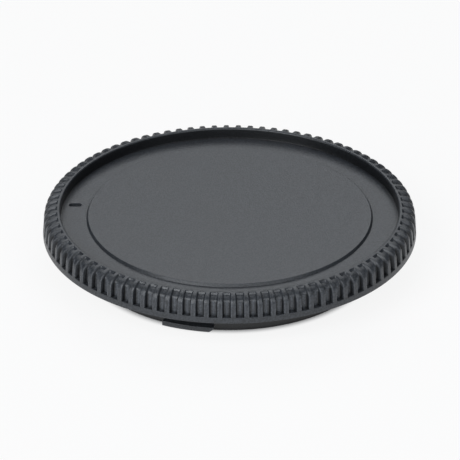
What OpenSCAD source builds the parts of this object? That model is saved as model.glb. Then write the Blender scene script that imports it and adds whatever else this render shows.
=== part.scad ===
// Bayonet body cap: a ribbed round lid, moulded in one piece, that closes a lens mount.
// The origin is the centre of the flange underside, the plane that seats on the mount ring.
// The face looks up, and the collar with its lugs reaches down into the mount.

/* [Rim] */
// Outer diameter at the foot of the rim
rim_d = 62; // [60:0.5:70]
// Height of the rim from the flange underside to its crest
rim_h = 4.35; // [3.85:0.05:6]
// Width of the rim from the recess to its foot
rim_w = 2.95; // [2.65:0.05:4]
// Lean of the outer wall, in degrees, so that the moulding leaves its tool
rim_draft = 4.5; // [0:0.5:6]
// Fall of the top from its crest to the shoulder, in degrees
rim_fall = 11; // [0:1:14]
// Radius of the shoulder between the top and the outer wall
shoulder_r = 1.3; // [0.8:0.1:1.5]
// Radius of the edge between the crest and the recess
crest_edge_r = 0.3; // [0.1:0.05:0.4]
// Chamfer of the outer edge of the flange underside
foot_chamfer = 0.05; // [0.05:0.05:0.4]

/* [Grip slots] */
// Number of slots, with a rib between each two
slot_count = 90; // [60:1:100]
// Angle of the first slot in degrees, from the X axis
slot_phase = 1.1; // [0:0.1:4]
// Width of a slot at its floor
slot_w = 1.15; // [0.6:0.05:1.25]
// Width of a slot at its mouth in the outer wall
slot_mouth_w = 1.35; // [1:0.05:1.4]
// Depth of a slot, in from the outer wall
slot_depth = 0.75; // [0.4:0.05:1]
// Depth of a slot at its inner end, down from the crest
slot_step = 0.3; // [0.1:0.05:0.5]
// Length of the ramp from the land down to the floor of a slot
slot_ramp = 0.25; // [0.05:0.05:0.4]
// Radius of the bend in the slot floor
slot_bend_r = 1.4; // [0.8:0.1:1.6]
// Width of the plain land between the recess and the slots
land_w = 0.4; // [0.4:0.1:0.8]
// Height of the plain band that closes the slots at the foot of the rim
band_h = 1; // [0.6:0.1:2]

/* [Face] */
// Depth of the face below the crest of the rim
face_drop = 1.85; // [1:0.05:2.2]
// Thickness of the plate that carries the face
plate_t = 1.8; // [1:0.1:2.4]
// Diameter of the raised centre disk
disk_d = 47.6; // [30:0.2:50]
// Height of the centre disk above the face
disk_h = 0.5; // [0.45:0.05:0.9]
// Radius of the edge of the centre disk
disk_edge_r = 0.3; // [0.05:0.05:0.4]

/* [Index mark] */
// Angle of the mark's place in degrees, from the X axis
mark_angle = 171.6; // [0:0.2:360]
// Length of the mark
mark_l = 2.1; // [1.5:0.1:3]
// Width of the mark
mark_w = 1.1; // [0.3:0.1:1.2]
// Depth of the mark
mark_depth = 0.35; // [0.2:0.05:0.8]

/* [Bayonet] */
// Outer diameter of the collar, which enters the mount
collar_d = 47.6; // [46:0.1:48.4]
// Wall of the collar
collar_wall = 1.6; // [1:0.1:3]
// Reach of the collar below the flange underside
collar_l = 5.45; // [5.2:0.05:7]
// Chamfer of the collar's free end
collar_chamfer = 0.1; // [0.1:0.1:0.4]
// Diameter over the lugs, which pass the gaps of the mount
lug_d = 51.2; // [50:0.1:51.6]
// Number of lugs
lug_count = 4; // [3:1:6]
// Angle of the middle of the first lug in degrees, from the X axis
lug_phase = 74.5; // [0:0.5:90]
// Angle that one lug spans, in degrees
lug_span = 19.5; // [10:0.5:40]
// Thickness of a lug
lug_t = 0.9; // [0.8:0.1:1.1]
// Clear height between the flange underside and a lug
lug_gap = 4; // [3:0.1:4]
// Chamfer of the lug corner that turns into the mount first
lug_lead = 0.6; // [0.2:0.1:0.7]

/* [Hidden] */
$fn = 180;
// Overlap of joined solids and overshoot of cuts
lap = 0.2;

rim_r = rim_d / 2;
recess_r = rim_r - rim_w;
crest_r = recess_r + crest_edge_r;
land_r = recess_r + land_w;
floor_r = rim_r - slot_depth;
slot_pitch = 360 / slot_count;
face_z = rim_h - face_drop;
ceiling_z = face_z - plate_t;
disk_r = disk_d / 2;
mark_r = (disk_r + recess_r) / 2;
collar_r = collar_d / 2;
bore_r = collar_r - collar_wall;
lug_r = lug_d / 2;
lug_pitch = 360 / lug_count;

// Radius of a wall that leans in by the draft angle, at height z
function wall_r(foot_r, z) = foot_r - z * tan(rim_draft);

// Height at radius r of a top that falls away outward from the height crest_z
function top_z(crest_z, r) = crest_z - (r - crest_r) * tan(rim_fall);

// Centre of the bend of radius r that is tangent to a leaning wall and to a top
// that falls away from the height crest_z
function bend_centre(foot_r, crest_z, r) =
    let (
        wall = foot_r * cos(rim_draft) - r,
        top = crest_z * cos(rim_fall) + crest_r * sin(rim_fall) - r,
        scale = cos(rim_draft + rim_fall)
    )
    [
        (wall * cos(rim_fall) - top * sin(rim_draft)) / scale,
        (top * cos(rim_draft) - wall * sin(rim_fall)) / scale,
    ];

// Half section from the axis to a leaning wall that bends over into the falling top
module bent_section(foot_r, crest_z, r) {
    centre = bend_centre(foot_r, crest_z, r);
    translate(centre) circle(r = r);
    polygon([
        [0, 0],
        [foot_r - foot_chamfer, 0],
        [wall_r(foot_r, foot_chamfer), foot_chamfer],
        centre + r * [cos(rim_draft), sin(rim_draft)],
        centre,
        centre + r * [sin(rim_fall), cos(rim_fall)],
        [crest_r, crest_z],
        [0, crest_z],
    ]);
}

// Section of the recess inside the rim, with a rounded top edge
module recess_section() {
    edge_z = rim_h - crest_edge_r;
    translate([0, face_z]) square([recess_r, face_drop + lap]);
    difference() {
        translate([0, edge_z]) square([crest_r, crest_edge_r + lap]);
        translate([crest_r, edge_z]) circle(r = crest_edge_r);
    }
}

// Section of the raised disk in the middle of the face
module disk_section() {
    core_r = disk_r - disk_edge_r;
    translate([0, face_z - lap]) {
        square([disk_r, disk_h + lap - disk_edge_r]);
        square([core_r, disk_h + lap]);
    }
    translate([core_r, face_z + disk_h - disk_edge_r]) circle(r = disk_edge_r);
}

// Section of the ring that enters the mount, chamfered at its free end
module collar_section() {
    polygon([
        [bore_r, ceiling_z + lap],
        [bore_r, collar_chamfer - collar_l],
        [bore_r + collar_chamfer, -collar_l],
        [collar_r - collar_chamfer, -collar_l],
        [collar_r, collar_chamfer - collar_l],
        [collar_r, ceiling_z + lap],
    ]);
}

// Everything that is round about the axis: rim, face, disk and collar
module round_body() {
    rotate_extrude() {
        difference() {
            bent_section(rim_r, rim_h, shoulder_r);
            recess_section();
            square([bore_r, ceiling_z]);
        }
        disk_section();
        collar_section();
    }
}

// Plan of the slots: straight to the floor, then flared to the mouth
module slot_plan() {
    flare = (slot_mouth_w - slot_w) / slot_depth;
    outer_w = slot_mouth_w + flare * lap;
    for (i = [0:slot_count - 1])
        rotate(slot_phase + i * slot_pitch)
            polygon([
                [land_r - lap, -slot_w / 2],
                [floor_r, -slot_w / 2],
                [rim_r + lap, -outer_w / 2],
                [rim_r + lap, outer_w / 2],
                [floor_r, slot_w / 2],
                [land_r - lap, slot_w / 2],
            ]);
}

// Half section of what the slots leave: a floor that bends with the shoulder,
// and a ramp up to the land
module floor_section() {
    floor_z = rim_h - slot_step;
    ramp_r = land_r + slot_ramp;
    ramp_z = top_z(floor_z, ramp_r);
    steepness = (top_z(rim_h, land_r) - ramp_z) / slot_ramp;
    bent_section(floor_r, floor_z, slot_bend_r);
    polygon([
        [0, floor_z - lap],
        [ramp_r, floor_z - lap],
        [ramp_r, ramp_z],
        [land_r - lap, top_z(rim_h, land_r) + lap * steepness],
        [0, top_z(rim_h, land_r) + lap * steepness],
    ]);
}

// Slots that leave the grip ribs
module grip_slots() {
    difference() {
        translate([0, 0, band_h]) linear_extrude(rim_h - band_h + lap) slot_plan();
        rotate_extrude() floor_section();
    }
}

// Short groove with round ends, level with the X axis, that shows where the cap goes in
module index_mark() {
    translate([mark_r * cos(mark_angle), mark_r * sin(mark_angle), face_z - mark_depth])
        linear_extrude(mark_depth + lap) {
            square([mark_l - mark_w, mark_w], center = true);
            for (side = [-1, 1])
                translate([side * (mark_l - mark_w) / 2, 0]) circle(d = mark_w);
        }
}

// One bayonet lug about the X axis, with its leading corner cut away
module lug() {
    lug_z = -lug_gap - lug_t;
    lead_side = lug_lead * sqrt(2);
    difference() {
        rotate(-lug_span / 2)
            rotate_extrude(angle = lug_span)
                translate([collar_r - lap, lug_z]) square([lug_r - collar_r + lap, lug_t]);
        rotate(lug_span / 2)
            translate([lug_r, 0, lug_z])
                rotate([45, 0, 0]) cube([lug_r, lead_side, lead_side], center = true);
    }
}

module body_cap() {
    color("#3a3b3d") {
        difference() {
            round_body();
            grip_slots();
            index_mark();
        }
        for (i = [0:lug_count - 1])
            rotate(lug_phase + i * lug_pitch) lug();
    }
}

body_cap();
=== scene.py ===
"""Looks of a camera body cap: one moulded piece of matte black plastic.

The mesh of the solids is replaced by a finer one of the same moulding, built from rings
of points round the axis. A section is a list of points (r, z) in mm, which runs from the
middle of the face outward, down the rim and round the collar to the ceiling inside it.
"""

import math

import bmesh
import bpy
from mathutils import Matrix, Vector


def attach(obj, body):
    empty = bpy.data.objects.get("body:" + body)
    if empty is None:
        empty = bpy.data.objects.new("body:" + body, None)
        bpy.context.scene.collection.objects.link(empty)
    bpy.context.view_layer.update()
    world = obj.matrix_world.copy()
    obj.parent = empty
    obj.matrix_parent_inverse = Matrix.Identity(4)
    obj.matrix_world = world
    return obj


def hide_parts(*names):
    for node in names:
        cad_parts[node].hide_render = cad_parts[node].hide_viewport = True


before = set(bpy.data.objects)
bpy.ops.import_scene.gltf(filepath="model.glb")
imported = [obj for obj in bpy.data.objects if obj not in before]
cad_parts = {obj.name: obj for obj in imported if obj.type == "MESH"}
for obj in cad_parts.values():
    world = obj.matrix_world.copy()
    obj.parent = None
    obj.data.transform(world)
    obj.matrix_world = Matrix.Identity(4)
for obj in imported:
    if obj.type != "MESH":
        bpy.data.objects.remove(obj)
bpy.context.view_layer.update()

MM = 0.001

# ------------------------------------------------------- sizes, in mm and degrees
# Rim
RIM_R = 31.0
RIM_H = 4.35
RECESS_R = 28.05
RECESS_ROOT_R = 0.05
DRAFT = math.radians(4.5)
CREST_EDGE_R = 0.3
CREST_R = RECESS_R + CREST_EDGE_R
FOOT_CHAMFER = 0.05
BAND_H = 1.0

# Convex top of the ribs, up to the tilt at which the tighter shoulder starts
DOME_R = 4.07
RIB_SHOULDER = 21
RIB_EDGE_R = 0.1

# Slots, and the convex top of their floor
SLOTS = 90
SLOT_PHASE = 1.1
SLOT_FLOOR_W = 1.0
SLOT_MOUTH_W = 1.33
SLOT_DEPTH = 0.75
SLOT_ROOT_R = 0.08
FLOOR_DOME_R = 2.6
FLOOR_TILT = 13
FLOOR_SHOULDER = 30

# Ramp at the inner end of a slot, from the plain land down to the slot's floor
LAND_R = 28.58
SLOT_RAMP = 0.28
SLOT_STEP = 0.3
SLOT_SINK = 0.08
RAMP_SAG = 0.02
PAST_RAMP = 0.1

# Face, with its raised disk
FACE_Z = 2.5
CEILING_Z = 0.7
CEILING_ROOT_R = 0.2
DISK_R = 23.74
DISK_H = 0.5
DISK_SLOPE = 65
DISK_EDGE_R = 0.14
DISK_ROOT_R = 0.05

# Index mark
MARK_ANGLE = math.radians(171.4)
MARK_R = 26.07
MARK_L = 2.2
MARK_W = 1.25
MARK_DEPTH = 0.6
MARK_EDGE_R = 0.02
MARK_ROOT = 0.03
MARK_OVERSHOOT = 0.3

# Collar and lugs
COLLAR_R = 23.8
BORE_R = 22.2
COLLAR_L = 5.45
COLLAR_CHAMFER = 0.1
LUG_R = 25.6
LUG_COUNT = 4
LUG_PHASE = 74.5
LUG_SPAN = 19.3
LUG_T = 0.9
LUG_GAP = 4.0
LUG_LEAD = 0.6
LUG_EDGE_R = 0.1
LUG_LAP = 0.4

# Radii of the rings that only divide the flats, from the face round to the ceiling
DISK_RINGS = (8.0, 16.0, 22.0)
FACE_RINGS = (24.1, 25.0, 26.5, 27.4)
FLANGE_RINGS = (28.0, 25.0)
CEILING_RINGS = (16.0, 8.0)

# Points of a plain ring to each slot pitch, and steps along the larger bends
COARSE = 4
DOME_STEPS = 5
SHOULDER_STEPS = 8
LUG_STEPS = 24
MARK_END_STEPS = 16

# Painted shade on the collar, which stands in the shade under the rim, from 0 for none
# to 1 for the darkest corner
COLLAR_PAINTED_SHADE = 0.9


# -------------------------------------------------------------------- the section
def arc(centre, r, start, end, steps):
    """Points of an arc in the section plane, with its angles in degrees."""
    points = []
    for i in range(steps + 1):
        a = math.radians(start + (end - start) * i / steps)
        points.append((centre[0] + r * math.cos(a), centre[1] + r * math.sin(a)))
    return points


def wall_point(foot_r, z):
    """Point at height z on a leaning wall that has the radius foot_r at its foot."""
    return (foot_r - z * math.tan(DRAFT), z)


def rib_top(r):
    """Point at radius r on the convex top of the ribs."""
    return (r, RIM_H - DOME_R + math.sqrt(DOME_R**2 - (r - CREST_R) ** 2))


def domed_path(start, tilt, dome_r, shoulder, foot_r):
    """Convex top, tighter shoulder and leaning wall, down to the band.

    The tilt of the surface grows from tilt to shoulder, in degrees, on the radius
    dome_r, and then up to the lean of the wall, on the radius that just meets it.
    """
    points = [start]

    def bend(r, first, last, steps):
        r0, z0 = points[-1]
        t0 = math.radians(first)
        for i in range(1, steps + 1):
            t = math.radians(first + (last - first) * i / steps)
            across = r * (math.sin(t) - math.sin(t0))
            points.append((r0 + across, z0 - r * (math.cos(t0) - math.cos(t))))

    bend(dome_r, tilt, shoulder, DOME_STEPS)
    upright = 90 - math.degrees(DRAFT)
    s, u = math.radians(shoulder), math.radians(upright)
    lean = math.tan(DRAFT)
    r1, z1 = points[-1]
    room = foot_r - z1 * lean - r1
    reach = math.sin(u) - math.sin(s) - (math.cos(s) - math.cos(u)) * lean
    bend(room / reach, shoulder, upright, SHOULDER_STEPS)
    top, low = points[-1], wall_point(foot_r, BAND_H)
    for share in (0.35, 0.7, 0.95, 1.0):
        r = top[0] + (low[0] - top[0]) * share
        points.append((r, top[1] + (low[1] - top[1]) * share))
    return points


def disk_and_recess_rows():
    """Plain rows (r, z, painted shade) from the disk out to the wall of the recess."""
    disk_z = FACE_Z + DISK_H
    slope = math.radians(DISK_SLOPE)
    foot_r = DISK_R + DISK_ROOT_R * math.tan(slope / 2)
    top_r = DISK_R - DISK_H / math.tan(slope) - DISK_EDGE_R * math.tan(slope / 2)
    edge = arc((top_r, disk_z - DISK_EDGE_R), DISK_EDGE_R, 90, 90 - DISK_SLOPE, 4)
    root = arc((foot_r, FACE_Z + DISK_ROOT_R), DISK_ROOT_R, 270 - DISK_SLOPE, 270, 3)
    corner = (RECESS_R - RECESS_ROOT_R, FACE_Z + RECESS_ROOT_R)
    rows = [(r, disk_z, 0.0) for r in DISK_RINGS]
    rows += [(r, z, 0.0) for r, z in edge]
    # Painted shade in the root of the disk, on the face next to the recess wall, and in
    # the recess's corner and on its wall
    rows += [(r, z, painted_shade) for (r, z), painted_shade in zip(root, (0.0, 1.0, 1.0, 0.0))]
    rows += [(r, FACE_Z, 0.0) for r in FACE_RINGS]
    rows += [(RECESS_R - 0.15, FACE_Z, 0.5)]
    rows += [(r, z, 1.0) for r, z in arc(corner, RECESS_ROOT_R, -90, 0, 3)]
    rows += [(RECESS_R, FACE_Z + 0.7, 1.0)]
    return rows


def crest_rows():
    """Slotted rows of the round edge from the recess to the land, still unslotted, with
    painted shade that fades from the recess up to the land.
    """
    centre = (CREST_R, RIM_H - CREST_EDGE_R)
    points = arc(centre, CREST_EDGE_R, 180, 90, 6)
    # Painted shade, given as a value below zero, fading up the edge from the recess
    return [(p, p, -max(0.0, 0.9 - 0.3 * i)) for i, p in enumerate(points)]


def slotted_rows():
    """Slotted rows from the land, over the shoulder and down to the band.

    A slotted row is (point on the rib, point on the slot's floor, polish minus shade).
    Above zero that value is polish, and below zero it is painted shade.
    """
    land = rib_top(LAND_R - 0.05)
    rows = [(land, land, 0.0)]

    ramp_top = rib_top(LAND_R)
    ramp_z = RIM_H - SLOT_STEP - SLOT_SINK
    sags = ((0.0, RAMP_SAG), (0.12, 0.0), (0.5, 0.0), (0.85, 0.0), (1.0, -RAMP_SAG))
    for share, sag in sags:
        r = LAND_R + SLOT_RAMP * share
        z = ramp_top[1] + (ramp_z - ramp_top[1]) * share - sag
        rows.append((rib_top(r), (r, z), 1.0))

    past = LAND_R + SLOT_RAMP + PAST_RAMP
    past_z = ramp_z - PAST_RAMP * math.tan(math.radians(FLOOR_TILT))
    tilt = math.degrees(math.asin((past - CREST_R) / DOME_R))
    floor_r = RIM_R - SLOT_DEPTH
    rib = domed_path(rib_top(past), tilt, DOME_R, RIB_SHOULDER, RIM_R)
    floor = domed_path((past, past_z), FLOOR_TILT, FLOOR_DOME_R, FLOOR_SHOULDER, floor_r)
    # Painted shade on the last rows of the wall, low in each slot near the band
    polishes_minus_shades = [0.0] * (len(rib) - 2) + [-0.5, -1.0]
    rows += list(zip(rib, floor, polishes_minus_shades))

    # The floor comes out on the band, and then round its edge into the wall, with
    # painted shade on the sill
    out = wall_point(RIM_R, BAND_H)[0]
    sill = (out - 0.08, BAND_H - 0.001)
    rows.append((wall_point(RIM_R, BAND_H - 0.02), sill, -0.5))
    lip = (out - 0.02, BAND_H - 0.02)
    rows.append((wall_point(RIM_R, BAND_H - 0.045), lip, 0.0))
    low = wall_point(RIM_R, BAND_H - 0.09)
    rows.append((low, low, 0.0))
    return rows


def band_and_collar_rows():
    """Plain rows from the band, under the flange, round the collar to its ceiling."""
    chamfered = wall_point(RIM_R, FOOT_CHAMFER)
    end_z = COLLAR_CHAMFER - COLLAR_L
    points = [wall_point(RIM_R, 0.7), wall_point(RIM_R, 0.3)]
    points += [chamfered, (chamfered[0] - 0.01, 0.02), (RIM_R - FOOT_CHAMFER, 0.0)]
    points += [(r, 0.0) for r in (*FLANGE_RINGS, COLLAR_R + 0.1)]
    points += [(COLLAR_R + 0.03, -0.03), (COLLAR_R, -0.1)]
    points += [(COLLAR_R, -2.5), (COLLAR_R, -4.6)]
    points += arc((COLLAR_R - COLLAR_CHAMFER, end_z), COLLAR_CHAMFER, 0, -90, 3)
    points += arc((BORE_R + COLLAR_CHAMFER, end_z), COLLAR_CHAMFER, -90, -180, 3)
    points += [(BORE_R, -2.5), (BORE_R, CEILING_Z - 0.3)]
    corner = (BORE_R - CEILING_ROOT_R, CEILING_Z - CEILING_ROOT_R)
    points += arc(corner, CEILING_ROOT_R, 0, 90, 3)
    points += [(r, CEILING_Z) for r in CEILING_RINGS]
    outside = COLLAR_R + 0.02
    return [(r, z, COLLAR_PAINTED_SHADE if r < outside else 0.0) for r, z in points]


# ----------------------------------------------------------------------- the rings
def half_columns():
    """Points across half a slot, from the middle of its floor to the top of the rib.

    Each entry is (bend, outward, inward, painted shade, painted light). The bend is the
    root between floor and side, or the edge between side and top. Outward and inward are
    the point's distances from the bend's centre, as shares of its radius. Painted shade
    darkens the root and painted light lightens the rib's edge.
    """
    # Painted shade in the root between floor and side, and a little below the rib's
    # edge; painted light on the rib's edge
    root_painted_shade = ((0, 0.35), (45, 1.0), (90, 1.0))
    edge_shade_and_light = ((0, 0.3, 0.0), (30, 0.0, 0.0), (60, 0.0, 0.6), (90, 0.0, 0.6))
    columns = []
    for angle, painted_shade in root_painted_shade:
        a = math.radians(angle)
        columns.append(("root", math.sin(a), math.cos(a), painted_shade, 0.0))
    for angle, painted_shade, painted_light in edge_shade_and_light:
        a = math.radians(angle)
        columns.append(("edge", math.cos(a), math.sin(a), painted_shade, painted_light))
    return columns


def fine_row(rib, floor, polish_minus_shade):
    """Points of one slot and its rib, as (angle from the slot, r, z, (painted shade,
    polish, painted light)).

    A point's painted shade and painted light grow with the depth of the slot, and a slot
    that hasn't started yet has the rib and the floor at one point. A row's polish minus
    shade below zero gives the whole row painted shade.
    """
    pitch = 2 * math.pi / SLOTS
    flare = (SLOT_MOUTH_W - SLOT_FLOOR_W) / 2
    depth = math.hypot(rib[0] - floor[0], rib[1] - floor[1])
    deep = min(1.0, max(0.0, depth - SLOT_STEP) / (SLOT_DEPTH - SLOT_STEP)) ** 2
    root_r = min(SLOT_ROOT_R, depth * 0.3)
    edge_r = min(RIB_EDGE_R, depth * 0.45)
    # Polish where the row's value is above zero, and painted shade over the row where it
    # is below zero
    polish, row_painted_shade = max(0.0, polish_minus_shade), max(0.0, -polish_minus_shade)

    def bend_share(r, inward):
        return r / depth * (1 - inward) if depth > 1e-6 else 0.1

    def point(share, across, painted_shade, polish, painted_light):
        r = rib[0] + (floor[0] - rib[0]) * share
        z = rib[1] + (floor[1] - rib[1]) * share
        return across / r, r, z, (max(painted_shade * deep, row_painted_shade), polish, painted_light * deep)

    side = []
    for bend, outward, inward, painted_shade, painted_light in half_columns():
        if bend == "root":
            share = 1 - bend_share(root_r, inward)
            half = SLOT_FLOOR_W / 2 - SLOT_ROOT_R * (1 - outward)
            shiny = polish
        else:
            share = bend_share(edge_r, inward)
            half = SLOT_FLOOR_W / 2 + RIB_EDGE_R * (1 - outward)
            shiny = 0.0
        across = half + flare * (1 - share)
        side.append(point(share, across, painted_shade * (1 - shiny), shiny, painted_light))

    # Painted light on the middle of the slot's floor, which makes it lighter
    slot_middle = point(1.0, 0.0, 0.0, polish, 1.0)
    # Painted shade on the rib's top only on the rows before the slot cuts in
    rib_painted_shade = row_painted_shade if depth < SLOT_STEP / 2 else 0.0
    rib_middle = (pitch / 2, rib[0], rib[1], (rib_painted_shade, 0.0, 0.0))
    mirrored = [(pitch - p[0],) + p[1:] for p in reversed(side)]
    return [slot_middle] + side + [rib_middle] + mirrored


def place(angle, r, z):
    return Vector((r * math.cos(angle), r * math.sin(angle), z)) * MM


def new_mesh():
    """Empty mesh whose points carry the painted shade, polish and painted light that the
    material reads.
    """
    bm = bmesh.new()
    bm.verts.layers.float_color.new("painted_shade_light_and_polish")
    return bm


def new_vert(bm, where, painted_shade=0.0, polish=0.0, painted_light=0.0):
    vert = bm.verts.new(where)
    vert[bm.verts.layers.float_color["painted_shade_light_and_polish"]] = (painted_shade, polish, painted_light, 1.0)
    return vert


def slotted_ring(bm, rib, floor, polish_minus_shade):
    verts = []
    for k in range(SLOTS):
        base = math.radians(SLOT_PHASE + k * 360 / SLOTS)
        for a, r, z, painted_shade_light_and_polish in fine_row(rib, floor, polish_minus_shade):
            verts.append(new_vert(bm, place(base + a, r, z), *painted_shade_light_and_polish))
    return verts


def plain_ring(bm, r, z, painted_shade):
    verts = []
    for k in range(SLOTS * COARSE):
        angle = math.radians(SLOT_PHASE + k * 360 / (SLOTS * COARSE))
        verts.append(new_vert(bm, place(angle, r, z), painted_shade))
    return verts


def join_rings(bm, inner, outer):
    """Quads between two like rings, or triangles from the coarser to the finer one."""
    coarse, fine = sorted((inner, outer), key=len)
    ratio = len(fine) // len(coarse)
    faces = []
    for k, start in enumerate(coarse):
        end = coarse[(k + 1) % len(coarse)]
        row = [fine[(k * ratio + i) % len(fine)] for i in range(ratio + 1)]
        if ratio == 1:
            faces.append((end, start, *row))
            continue
        faces.append((end, start, row[ratio // 2]))
        for i in range(ratio):
            faces.append((start if i < ratio // 2 else end, row[i], row[i + 1]))
    for face in faces:
        bm.faces.new(face if coarse is inner else tuple(reversed(face)))


def fill_ring(bm, ring, z, upward):
    """Fan of faces from the axis to a ring."""
    centre = new_vert(bm, (0, 0, z * MM))
    for i, v in enumerate(ring):
        w = ring[(i + 1) % len(ring)]
        bm.faces.new((centre, v, w) if upward else (centre, w, v))


def cap_body():
    """The whole cap but its lugs and index mark, as one closed mesh."""
    bm = new_mesh()
    rings = [plain_ring(bm, *row) for row in disk_and_recess_rows()]
    rings += [slotted_ring(bm, *row) for row in crest_rows() + slotted_rows()]
    rings += [plain_ring(bm, *row) for row in band_and_collar_rows()]
    for inner, outer in zip(rings, rings[1:]):
        join_rings(bm, inner, outer)
    fill_ring(bm, rings[0], FACE_Z + DISK_H, True)
    fill_ring(bm, rings[-1], CEILING_Z, False)
    bmesh.ops.remove_doubles(bm, verts=bm.verts, dist=1e-7)
    bmesh.ops.recalc_face_normals(bm, faces=bm.faces)
    return to_object(bm, "cap_moulding")


# ------------------------------------------------------------------ mark and lugs
def to_object(bm, name):
    mesh = bpy.data.meshes.new(name)
    bm.to_mesh(mesh)
    bm.free()
    obj = bpy.data.objects.new(name, mesh)
    bpy.context.scene.collection.objects.link(obj)
    return obj


def closed_tube(bm, rings):
    """Sides between rings of equally many points, and a face on each end."""
    for one, two in zip(rings, rings[1:]):
        n = len(one)
        for i in range(n):
            bm.faces.new((one[i], one[(i + 1) % n], two[(i + 1) % n], two[i]))
    bm.faces.new(list(reversed(rings[0])))
    bm.faces.new(rings[-1])


def mark_cutter():
    """Stadium shape of the index mark, flared at the top so that its edge is round."""
    bm = new_mesh()
    straight = (MARK_L - MARK_W) / 2
    levels = [(-MARK_DEPTH, -MARK_ROOT), (-MARK_DEPTH + MARK_ROOT, 0.0)]
    for angle in (0, 30, 60, 90):
        t = math.radians(angle)
        down, out = 1 - math.sin(t), 1 - math.cos(t)
        levels.append((-MARK_EDGE_R * down, MARK_EDGE_R * out))
    levels.append((MARK_OVERSHOOT, MARK_EDGE_R))
    rings = []
    for dz, grow in levels:
        r = MARK_W / 2 + grow
        ring = []
        for side, turn in ((1, 0), (-1, math.pi)):
            for i in range(MARK_END_STEPS + 1):
                a = math.radians(-90 + 180 * i / MARK_END_STEPS) + turn
                x = side * straight + r * math.cos(a)
                where = (x * MM, r * math.sin(a) * MM, dz * MM)
                # Painted shade inside the mark, below the face
                ring.append(new_vert(bm, where, 1.0 if dz < -0.01 else 0.0))
        rings.append(ring)
    closed_tube(bm, rings)
    bm.transform(Matrix.Translation(place(MARK_ANGLE, MARK_R, FACE_Z)))
    bmesh.ops.recalc_face_normals(bm, faces=bm.faces)
    return to_object(bm, "mark_cutter")


def lug_solid(middle):
    """One bayonet lug with rounded edges and a chamfered leading corner."""
    bm = new_mesh()
    top, low = -LUG_GAP, -LUG_GAP - LUG_T
    inner, e = COLLAR_R - LUG_LAP, LUG_EDGE_R
    rings = []
    for i in range(LUG_STEPS + 1):
        share = i / LUG_STEPS
        angle = math.radians(middle - LUG_SPAN / 2 + LUG_SPAN * share)
        to_end = math.radians(LUG_SPAN) * LUG_R * (1 - share)
        raised = low + max(0.0, LUG_LEAD - to_end)
        section = [(inner, top), (LUG_R - e, top)]
        section += arc((LUG_R - e, top - e), e, 60, 0, 2)
        section += arc((LUG_R - e, raised + e), e, 0, -90, 3)
        section += [(inner, raised)]
        rings.append([new_vert(bm, place(angle, r, z)) for r, z in section])
    closed_tube(bm, rings)
    bmesh.ops.recalc_face_normals(bm, faces=bm.faces)
    return to_object(bm, "lug_solid")


def boolean(target, tool, operation):
    """Adds a tool object to the target, or cuts it out, and applies the result."""
    mod = target.modifiers.new(operation, "BOOLEAN")
    mod.object = tool
    mod.operation = operation
    mod.solver = "EXACT"
    graph = bpy.context.evaluated_depsgraph_get()
    mesh = bpy.data.meshes.new_from_object(target.evaluated_get(graph))
    target.modifiers.clear()
    target.data = mesh
    bpy.data.objects.remove(tool)


# ------------------------------------------------------------------- the materials
# Noise scales per metre, and the height of the grain in metres
GRAIN_SCALE = 3800
GRAIN_HEIGHT = 0.00005
PATCH_SCALE = 170
PATCH_SHARE = 0.15

# Colour of the plastic where the noise is low and high, and the values between which
# it changes
TONE_DARK = (0.0205, 0.0228, 0.0265, 1)
TONE_PALE = (0.0404, 0.0448, 0.0521, 1)
TONE_RANGE = (0.4, 0.6)

# Roughness in the patches; the darkening by painted shade, the lightening by painted
# light and the smoothing by polish, each at full strength
ROUGHNESS = (0.37, 0.40)
PAINTED_SHADE_DARKENS = 0.8
PAINTED_LIGHT_LIGHTENS = 1.2
POLISH_SMOOTHS = 0.12


def add(nodes, kind, **values):
    """Node whose named inputs are set to the given values."""
    node = nodes.new(kind)
    for name, value in values.items():
        node.inputs[name.replace("_", " ")].default_value = value
    return node


def math_node(nodes, links, kind, first, second, third=None):
    """Result of a math node whose inputs are sockets or plain numbers."""
    node = nodes.new("ShaderNodeMath")
    node.operation = kind
    for slot, value in enumerate((first, second, third)):
        if isinstance(value, bpy.types.NodeSocket):
            links.new(value, node.inputs[slot])
        elif value is not None:
            node.inputs[slot].default_value = value
    return node.outputs[0]


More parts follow.
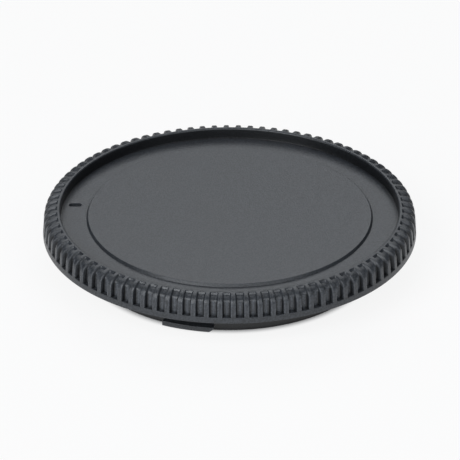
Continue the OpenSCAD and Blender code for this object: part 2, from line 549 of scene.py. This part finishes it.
def black_plastic():
    """Matte black plastic: fine grain, slight patches, painted shade in corners and
    hollows, painted light on rib edges and slot floors, polished ramps.
    """
    mat = bpy.data.materials.new("matte_black_plastic")
    mat.use_nodes = True
    nodes, links = mat.node_tree.nodes, mat.node_tree.links
    shader = nodes["Principled BSDF"]
    shader.inputs["IOR"].default_value = 1.5

    coords = nodes.new("ShaderNodeTexCoord")
    grain = add(nodes, "ShaderNodeTexNoise", Scale=GRAIN_SCALE, Detail=3)
    patch = add(nodes, "ShaderNodeTexNoise", Scale=PATCH_SCALE, Detail=4)
    for tex in (grain, patch):
        links.new(coords.outputs["Object"], tex.inputs["Vector"])
    grain, patch = grain.outputs["Fac"], patch.outputs["Fac"]
    # Painted shade, polish and painted light of each point
    painted_shade_light_and_polish = nodes.new("ShaderNodeAttribute")
    painted_shade_light_and_polish.attribute_name = "painted_shade_light_and_polish"
    split = nodes.new("ShaderNodeSeparateColor")
    links.new(painted_shade_light_and_polish.outputs["Color"], split.inputs["Color"])
    painted_shade, polish, painted_light = (split.outputs[name] for name in ("Red", "Green", "Blue"))

    tone = nodes.new("ShaderNodeValToRGB")
    for stop, position, colour in zip(
        tone.color_ramp.elements, TONE_RANGE, (TONE_DARK, TONE_PALE)
    ):
        stop.position = position
        stop.color = colour
    mixed = math_node(nodes, links, "MULTIPLY", patch, PATCH_SHARE)
    mixed = math_node(nodes, links, "MULTIPLY_ADD", grain, 1 - PATCH_SHARE, mixed)
    links.new(mixed, tone.inputs["Fac"])
    # Painted shade darkens the colour and painted light lightens it
    shaded_tone = nodes.new("ShaderNodeHueSaturation")
    links.new(tone.outputs["Color"], shaded_tone.inputs["Color"])
    value = math_node(nodes, links, "MULTIPLY_ADD", painted_shade, -PAINTED_SHADE_DARKENS, 1.0)
    value = math_node(nodes, links, "MULTIPLY_ADD", painted_light, PAINTED_LIGHT_LIGHTENS, value)
    links.new(value, shaded_tone.inputs["Value"])
    links.new(shaded_tone.outputs["Color"], shader.inputs["Base Color"])

    rough = add(
        nodes,
        "ShaderNodeMapRange",
        From_Min=0.25,
        From_Max=0.75,
        To_Min=ROUGHNESS[0],
        To_Max=ROUGHNESS[1],
    )
    links.new(patch, rough.inputs["Value"])
    rough = rough.outputs["Result"]
    rough = math_node(nodes, links, "MULTIPLY_ADD", polish, -POLISH_SMOOTHS, rough)
    links.new(rough, shader.inputs["Roughness"])

    bump = add(nodes, "ShaderNodeBump", Strength=0.8, Distance=GRAIN_HEIGHT)
    links.new(grain, bump.inputs["Height"])
    links.new(bump.outputs["Normal"], shader.inputs["Normal"])
    return mat


# Share of the floor that glows white far from the cap, and the radii in mm between which
# that glow fades out under the cap, which paints a shadow round the foot of the collar
# where the floor's own shadow shows through
FLOOR_GLOW = 0.88
FLOOR_PAINTED_SHADOW = (23.2, 25.2)


def pale_table():
    """Matt floor that camera and mirror rays see close to white, with its shadows and a
    painted shadow where the glow fades out under the cap.
    """
    mat = bpy.data.materials.new("pale_table")
    mat.use_nodes = True
    nodes, links = mat.node_tree.nodes, mat.node_tree.links
    nodes.clear()
    out = nodes.new("ShaderNodeOutputMaterial")
    matt = add(nodes, "ShaderNodeBsdfDiffuse", Color=(0.8, 0.8, 0.8, 1))
    glow = add(nodes, "ShaderNodeEmission", Strength=1.0)
    ray = nodes.new("ShaderNodeLightPath").outputs
    seen = math_node(nodes, links, "MAXIMUM", ray["Is Camera Ray"], ray["Is Glossy Ray"])
    seen = math_node(nodes, links, "MAXIMUM", seen, ray["Is Transmission Ray"])

    coords = nodes.new("ShaderNodeTexCoord")
    flat = nodes.new("ShaderNodeVectorMath")
    flat.operation = "MULTIPLY"
    flat.inputs[1].default_value = (1, 1, 0)
    links.new(coords.outputs["Object"], flat.inputs[0])
    away = nodes.new("ShaderNodeVectorMath")
    away.operation = "LENGTH"
    links.new(flat.outputs["Vector"], away.inputs[0])
    # Painted shadow: the glow fades out under the cap
    painted_shadow_fade = add(
        nodes,
        "ShaderNodeMapRange",
        From_Min=FLOOR_PAINTED_SHADOW[0] * MM,
        From_Max=FLOOR_PAINTED_SHADOW[1] * MM,
        To_Max=FLOOR_GLOW,
    )
    painted_shadow_fade.interpolation_type = "SMOOTHSTEP"
    links.new(away.outputs["Value"], painted_shadow_fade.inputs["Value"])

    share = math_node(nodes, links, "MULTIPLY", seen, painted_shadow_fade.outputs["Result"])
    mix = nodes.new("ShaderNodeMixShader")
    links.new(share, mix.inputs["Fac"])
    links.new(matt.outputs[0], mix.inputs[1])
    links.new(glow.outputs[0], mix.inputs[2])
    links.new(mix.outputs[0], out.inputs["Surface"])
    return mat


# ------------------------------------------------------------------------- the cap
cap = cap_body()
boolean(cap, mark_cutter(), "DIFFERENCE")
for i in range(LUG_COUNT):
    boolean(cap, lug_solid(LUG_PHASE + i * 360 / LUG_COUNT), "UNION")
cap.data.polygons.foreach_set("use_smooth", [True] * len(cap.data.polygons))
cap.data.set_sharp_from_angle(angle=math.radians(40))
weighted = cap.modifiers.new("even_flats", "WEIGHTED_NORMAL")
weighted.mode = "FACE_AREA"
weighted.keep_sharp = True
cap.data.materials.clear()
cap.data.materials.append(black_plastic())
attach(cap, "root")
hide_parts("body_cap")


# ------------------------------------------------------------ floor, light, camera
# In metres and degrees
FLOOR_HALF = 20.0
LAMP_DISTANCE = 1.4
LAMP_COLOUR = (0.97, 1.0, 1.03)

# Name, azimuth, elevation, width and height, radiance
LAMPS = (
    ("back_softbox", 90, 43, (1.25, 0.9), 2.05),
    ("left_softbox", 230, 33, (0.95, 1.3), 3.4),
    ("left_key", 230, 38, (0.7, 0.35), 2.2),
    ("front_softbox", 268, 41, (0.75, 0.95), 1.9),
    ("right_softbox", 306, 41, (0.75, 0.95), 2.1),
    ("right_fill", 350, 47, (0.75, 0.6), 0.4),
)
WORLD_STRENGTH = 0.03

# The camera as fitted to the photo
CAMERA_X = 0.00006
CAMERA_DISTANCE = 0.6079
CAMERA_ELEVATION = math.radians(28.98)
CAMERA_DROP = math.radians(0.011)
CAMERA_SENSOR = 36
CAMERA_LENS = 286.1


def table_top():
    """Floor that the end of the collar stands on."""
    bm = bmesh.new()
    corners = ((-1, -1), (1, -1), (1, 1), (-1, 1))
    z = -COLLAR_L * MM
    bm.faces.new([bm.verts.new((x * FLOOR_HALF, y * FLOOR_HALF, z)) for x, y in corners])
    obj = to_object(bm, "floor")
    obj.data.materials.append(pale_table())


def softbox(name, azimuth, elevation, size, radiance):
    """Rectangular area lamp that faces the cap."""
    a, e = math.radians(azimuth), math.radians(elevation)
    towards = Vector((math.cos(a) * math.cos(e), math.sin(a) * math.cos(e), math.sin(e)))
    data = bpy.data.lights.new(name, "AREA")
    data.shape = "RECTANGLE"
    data.size, data.size_y = size
    data.energy = math.pi * size[0] * size[1] * radiance
    data.color = LAMP_COLOUR
    lamp = bpy.data.objects.new(name, data)
    lamp.location = towards * LAMP_DISTANCE
    lamp.rotation_mode = "QUATERNION"
    lamp.rotation_quaternion = towards.to_track_quat("Z", "Y")
    bpy.context.scene.collection.objects.link(lamp)


def studio_world():
    """Weak even light from all round, for the shadows."""
    world = bpy.data.worlds.new("studio")
    bpy.context.scene.world = world
    world.use_nodes = True
    background = world.node_tree.nodes["Background"]
    background.inputs["Color"].default_value = (1, 1, 1, 1)
    background.inputs["Strength"].default_value = WORLD_STRENGTH


def photo_camera():
    """Camera that looks at the cap as the photo does."""
    data = bpy.data.cameras.new("photo_camera")
    data.sensor_width = CAMERA_SENSOR
    data.lens = CAMERA_LENS
    camera = bpy.data.objects.new("photo_camera", data)
    camera.location = (
        CAMERA_X,
        -CAMERA_DISTANCE * math.cos(CAMERA_ELEVATION),
        CAMERA_DISTANCE * math.sin(CAMERA_ELEVATION),
    )
    camera.rotation_euler = (math.pi / 2 - CAMERA_ELEVATION - CAMERA_DROP, 0, 0)
    bpy.context.scene.collection.objects.link(camera)
    bpy.context.scene.camera = camera


table_top()
for lamp in LAMPS:
    softbox(*lamp)
studio_world()
photo_camera()
bpy.context.scene.view_settings.view_transform = "Standard"
